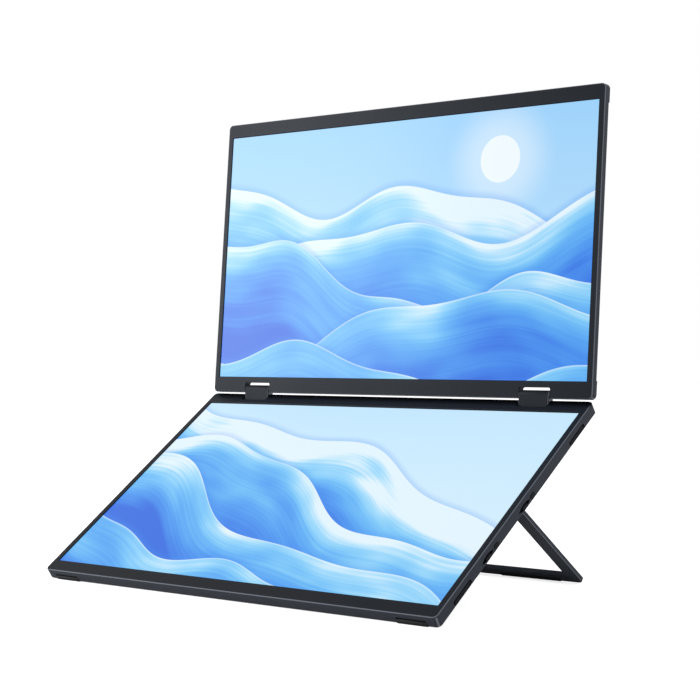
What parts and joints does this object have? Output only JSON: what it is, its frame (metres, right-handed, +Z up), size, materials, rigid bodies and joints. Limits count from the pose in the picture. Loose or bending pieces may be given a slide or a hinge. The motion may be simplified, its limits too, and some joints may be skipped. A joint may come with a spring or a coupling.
{
  "type": "dual portable monitor",
  "caption": "Two thin screens stacked on twin-shaft hinges, with a fold-out U-shaped stand behind the lower one and side controls.",
  "frame": {"origin": "on the desk, under the middle of the open monitor's outline", "axes": "+X to the right of a person facing the screens, +Y to the back, +Z up"},
  "size_m": [0.3548, 0.2284, 0.3485],
  "materials": {
    "cover_metal": "satin, fine grain",
    "bezel_plastic": "satin",
    "screen": "glossy, lit",
    "light_guide": "clear, polished",
    "reflector": "white film",
    "light_strip": "moulded",
    "hinge_steel": "ground",
    "screw_steel": "blackened",
    "hinge_cover_metal": "satin",
    "circuit_board": "solder resist",
    "chip_plastic": "moulded",
    "socket_steel": "drawn",
    "speaker_plastic": "moulded",
    "insert_plastic": "satin",
    "foot_rubber": "dull",
    "stand_metal": "satin, fine grain",
    "control_plastic": "satin"
  },
  "bodies": {
    "lower_monitor": {"lower_rear_cover": "cover_metal", "lower_front_bezel": "bezel_plastic", "lower_display_glass": "screen", "lower_light_guide": "light_guide", "lower_reflector_sheet": "reflector", "lower_light_strip": "light_strip", "lower_hinge_brackets": "hinge_steel", "lower_hinge_shafts": "hinge_steel", "lower_bracket_screws": "screw_steel", "lower_cover_screws": "screw_steel", "main_board": "circuit_board", "board_screws": "screw_steel", "board_chips": "chip_plastic", "usb_c_sockets": "socket_steel", "mini_hdmi_socket": "socket_steel", "speakers": "speaker_plastic", "side_inserts": "insert_plastic", "control_board": "circuit_board", "side_switches": "chip_plastic", "jog_pins": "hinge_steel", "front_feet": "foot_rubber", "kickstand_hinge_brackets": "hinge_steel", "kickstand_pins": "hinge_steel", "kickstand_bracket_screws": "screw_steel"},
    "hinge_links": {"hinge_cover_left": "hinge_cover_metal", "hinge_cover_right": "hinge_cover_metal", "hinge_link_plates": "hinge_steel", "hinge_washers": "hinge_steel"},
    "upper_monitor": {"upper_rear_cover": "cover_metal", "upper_front_bezel": "bezel_plastic", "upper_display_glass": "screen", "upper_light_guide": "light_guide", "upper_reflector_sheet": "reflector", "upper_light_strip": "light_strip", "upper_hinge_brackets": "hinge_steel", "upper_hinge_shafts": "hinge_steel", "upper_bracket_screws": "screw_steel", "upper_cover_screws": "screw_steel", "upper_driver_board": "circuit_board", "upper_driver_chips": "chip_plastic"},
    "kickstand": {"kickstand_frame": "stand_metal", "kickstand_strips": "foot_rubber"},
    "button_one": {"button_1": "control_plastic"},
    "button_two": {"button_2": "control_plastic"},
    "jog_one": {"jog_lever_1": "control_plastic"},
    "jog_two": {"jog_lever_2": "control_plastic"}
  },
  "joints": [
    {"name": "lower_hinge", "type": "hinge", "parent": "lower_monitor", "child": "hinge_links", "pos_m": [0, 0.0628, 0.12685], "axis": [1, 0, 0], "range_deg": [-50, 40.6]},
    {"name": "upper_hinge", "type": "hinge", "parent": "hinge_links", "child": "upper_monitor", "pos_m": [0, 0.06359, 0.13507], "axis": [1, 0, 0], "range_deg": [-30, 89.3]},
    {"name": "stand_hinge", "type": "hinge", "parent": "lower_monitor", "child": "kickstand", "pos_m": [0, 0.00281, 0.08108], "axis": [1, 0, 0], "range_deg": [-109.13, 0]},
    {"name": "button_one_press", "type": "slide", "parent": "lower_monitor", "child": "button_one", "axis": [-1, 0, 0], "range_m": [0, 0.0003], "stiffness_N_per_m": 3000, "springref_m": -0.0003},
    {"name": "button_two_press", "type": "slide", "parent": "lower_monitor", "child": "button_two", "axis": [-1, 0, 0], "range_m": [0, 0.0003], "stiffness_N_per_m": 3000, "springref_m": -0.0003},
    {"name": "jog_one_rock", "type": "hinge", "parent": "lower_monitor", "child": "jog_one", "pos_m": [0.1737, -0.02017, 0.06652], "axis": [0, -0.575, 0.8181], "range_deg": [-8, 8], "stiffness_Nm_per_rad": 0.015},
    {"name": "jog_two_rock", "type": "hinge", "parent": "lower_monitor", "child": "jog_two", "pos_m": [0.1737, -0.06059, 0.03811], "axis": [0, -0.575, 0.8181], "range_deg": [-8, 8], "stiffness_Nm_per_rad": 0.015}
  ]
}
